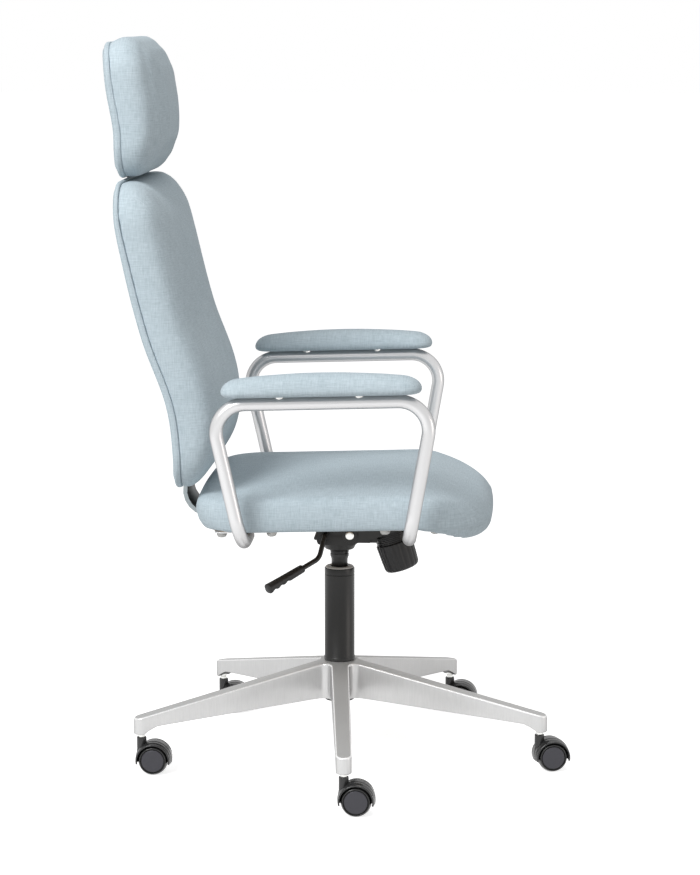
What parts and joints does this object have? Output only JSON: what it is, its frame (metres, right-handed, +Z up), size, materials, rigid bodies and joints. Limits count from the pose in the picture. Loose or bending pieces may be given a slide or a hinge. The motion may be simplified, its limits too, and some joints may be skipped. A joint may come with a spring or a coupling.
{
  "type": "office chair",
  "caption": "Swivel office chair with padded fabric seat, tall back, headrest and arm pads on bent tubes, gas lift, tilt lever and a cast star base on twin-wheel castors.",
  "frame": {"origin": "on the floor, under the middle of the chair's outline", "axes": "+Z up, the chair faces -Y, the sitter's left is +X"},
  "size_m": [0.7034, 0.78, 1.2354],
  "materials": {
    "blue_grey_fabric": "fine woven upholstery",
    "cast_aluminium": "satin cast, brightly worn edges",
    "silver_coated_steel": "silver satin powder coat",
    "black_steel": "black satin coat",
    "black_plastic": "moulded, fine grain",
    "grey_plastic": "moulded, smooth",
    "wheel_plastic": "moulded, satin",
    "zinc_steel": "bright zinc plate",
    "slate_coated_steel": "dark grey satin coat",
    "birch_board": "moulded plywood"
  },
  "bodies": {
    "base": {"base_star": "cast_aluminium", "column_tube": "black_steel", "column_guide": "grey_plastic", "column_clip": "zinc_steel", "castor_stem_1": "zinc_steel", "castor_stem_2": "zinc_steel", "castor_stem_3": "zinc_steel", "castor_stem_4": "zinc_steel", "castor_stem_5": "zinc_steel"},
    "swivel": {"piston_rod": "zinc_steel", "thrust_bearing": "zinc_steel"},
    "lift": {"gas_cylinder": "black_steel", "mechanism_housing": "black_steel", "tilt_pivot_pin": "zinc_steel", "spring_cover": "black_plastic"},
    "valve": {"release_button": "zinc_steel"},
    "tension": {"tension_knob": "black_plastic", "tension_screw": "zinc_steel"},
    "lever": {"lever_rod": "black_steel", "lever_grip": "black_plastic"},
    "castor_1": {"castor_hood_1": "black_plastic"},
    "wheel_1a": {"castor_wheel_1a": "wheel_plastic"},
    "wheel_1b": {"castor_wheel_1b": "wheel_plastic"},
    "castor_2": {"castor_hood_2": "black_plastic"},
    "wheel_2a": {"castor_wheel_2a": "wheel_plastic"},
    "wheel_2b": {"castor_wheel_2b": "wheel_plastic"},
    "castor_3": {"castor_hood_3": "black_plastic"},
    "wheel_3a": {"castor_wheel_3a": "wheel_plastic"},
    "wheel_3b": {"castor_wheel_3b": "wheel_plastic"},
    "castor_4": {"castor_hood_4": "black_plastic"},
    "wheel_4a": {"castor_wheel_4a": "wheel_plastic"},
    "wheel_4b": {"castor_wheel_4b": "wheel_plastic"},
    "castor_5": {"castor_hood_5": "black_plastic"},
    "wheel_5a": {"castor_wheel_5a": "wheel_plastic"},
    "wheel_5b": {"castor_wheel_5b": "wheel_plastic"},
    "seat": {"arm_bolt_left_1": "zinc_steel", "arm_bolt_left_2": "zinc_steel", "arm_bolt_left_3": "zinc_steel", "arm_bolt_left_4": "zinc_steel", "arm_bolt_right_1": "zinc_steel", "arm_bolt_right_2": "zinc_steel", "arm_bolt_right_3": "zinc_steel", "arm_bolt_right_4": "zinc_steel", "arm_frame_left": "silver_coated_steel", "arm_frame_right": "silver_coated_steel", "arm_pad_left": "blue_grey_fabric", "arm_pad_right": "blue_grey_fabric", "arm_stud_left_front": "zinc_steel", "arm_stud_left_rear": "zinc_steel", "arm_stud_right_front": "zinc_steel", "arm_stud_right_rear": "zinc_steel", "back_bracket": "slate_coated_steel", "back_cushion": "blue_grey_fabric", "back_shell": "blue_grey_fabric", "headrest_bar": "black_steel", "headrest_cushion": "blue_grey_fabric", "headrest_shell": "blue_grey_fabric", "seat_cushion": "blue_grey_fabric", "seat_pan": "birch_board", "tilt_plate": "black_steel"}
  },
  "joints": [
    {"name": "column_swivel", "type": "hinge", "parent": "base", "child": "swivel", "pos_m": [0.02378, 0.00523, 0.2], "axis": [0, 0, 1], "continuous": true},
    {"name": "seat_height", "type": "slide", "parent": "swivel", "child": "lift", "axis": [0, 0, 1], "range_m": [-0.012, 0.085]},
    {"name": "lever_pull", "type": "hinge", "parent": "lift", "child": "lever", "pos_m": [0.02378, 0.02573, 0.39981], "axis": [1, 0, 0], "range_deg": [0, 12], "stiffness_Nm_per_rad": 1.2, "springref_deg": -8.59},
    {"name": "valve_press", "type": "slide", "parent": "lift", "child": "valve", "axis": [0, 0, -1], "range_m": [0, 0.004], "stiffness_N_per_m": 800},
    {"name": "tension_turn", "type": "hinge", "parent": "lift", "child": "tension", "pos_m": [0.02378, -0.08817, 0.37781], "axis": [0, 0.309, 0.9511], "range_deg": [-720, 720]},
    {"name": "seat_tilt", "type": "hinge", "parent": "lift", "child": "seat", "pos_m": [0.02378, -0.01537, 0.39681], "axis": [-1, 0, 0], "range_deg": [0, 15], "stiffness_Nm_per_rad": 160, "springref_deg": -20.05},
    {"name": "castor_swivel_1", "type": "hinge", "parent": "base", "child": "castor_1", "pos_m": [-0.32978, -0.02322, 0.02501], "axis": [0, 0, 1], "continuous": true},
    {"name": "wheel_spin_1a", "type": "hinge", "parent": "castor_1", "child": "wheel_1a", "pos_m": [-0.33278, -0.04372, 0.02501], "axis": [1, 0, 0], "continuous": true},
    {"name": "wheel_spin_1b", "type": "hinge", "parent": "castor_1", "child": "wheel_1b", "pos_m": [-0.32678, -0.04372, 0.02501], "axis": [1, 0, 0], "continuous": true},
    {"name": "castor_swivel_2", "type": "hinge", "parent": "base", "child": "castor_2", "pos_m": [-0.05842, -0.33982, 0.02501], "axis": [0, 0, 1], "continuous": true},
    {"name": "wheel_spin_2a", "type": "hinge", "parent": "castor_2", "child": "wheel_2a", "pos_m": [-0.05709, -0.36049, 0.02501], "axis": [0.9781, 0.2079, 0], "continuous": true},
    {"name": "wheel_spin_2b", "type": "hinge", "parent": "castor_2", "child": "wheel_2b", "pos_m": [-0.05123, -0.35924, 0.02501], "axis": [0.9781, 0.2079, 0], "continuous": true},
    {"name": "castor_swivel_3", "type": "hinge", "parent": "base", "child": "castor_3", "pos_m": [0.32653, -0.17958, 0.02501], "axis": [0, 0, 1], "continuous": true},
    {"name": "wheel_spin_3a", "type": "hinge", "parent": "castor_3", "child": "wheel_3a", "pos_m": [0.32176, -0.19973, 0.02501], "axis": [0.9962, -0.0872, 0], "continuous": true},
    {"name": "wheel_spin_3b", "type": "hinge", "parent": "castor_3", "child": "wheel_3b", "pos_m": [0.32773, -0.20026, 0.02501], "axis": [0.9962, -0.0872, 0], "continuous": true},
    {"name": "castor_swivel_4", "type": "hinge", "parent": "base", "child": "castor_4", "pos_m": [0.29309, 0.23606, 0.02501], "axis": [0, 0, 1], "continuous": true},
    {"name": "wheel_spin_4a", "type": "hinge", "parent": "castor_4", "child": "wheel_4a", "pos_m": [0.29153, 0.2154, 0.02501], "axis": [0.9976, 0.0698, 0], "continuous": true},
    {"name": "wheel_spin_4b", "type": "hinge", "parent": "castor_4", "child": "wheel_4b", "pos_m": [0.29751, 0.21582, 0.02501], "axis": [0.9976, 0.0698, 0], "continuous": true},
    {"name": "castor_swivel_5", "type": "hinge", "parent": "base", "child": "castor_5", "pos_m": [-0.11253, 0.33269, 0.02501], "axis": [0, 0, 1], "continuous": true},
    {"name": "wheel_spin_5a", "type": "hinge", "parent": "castor_5", "child": "wheel_5a", "pos_m": [-0.11553, 0.31219, 0.02501], "axis": [1, 0, 0], "continuous": true},
    {"name": "wheel_spin_5b", "type": "hinge", "parent": "castor_5", "child": "wheel_5b", "pos_m": [-0.10953, 0.31219, 0.02501], "axis": [1, 0, 0], "continuous": true}
  ],
  "couplings": [
    {"joint": "valve_press", "follows": "lever_pull", "m_per_rad": 0.019}
  ]
}
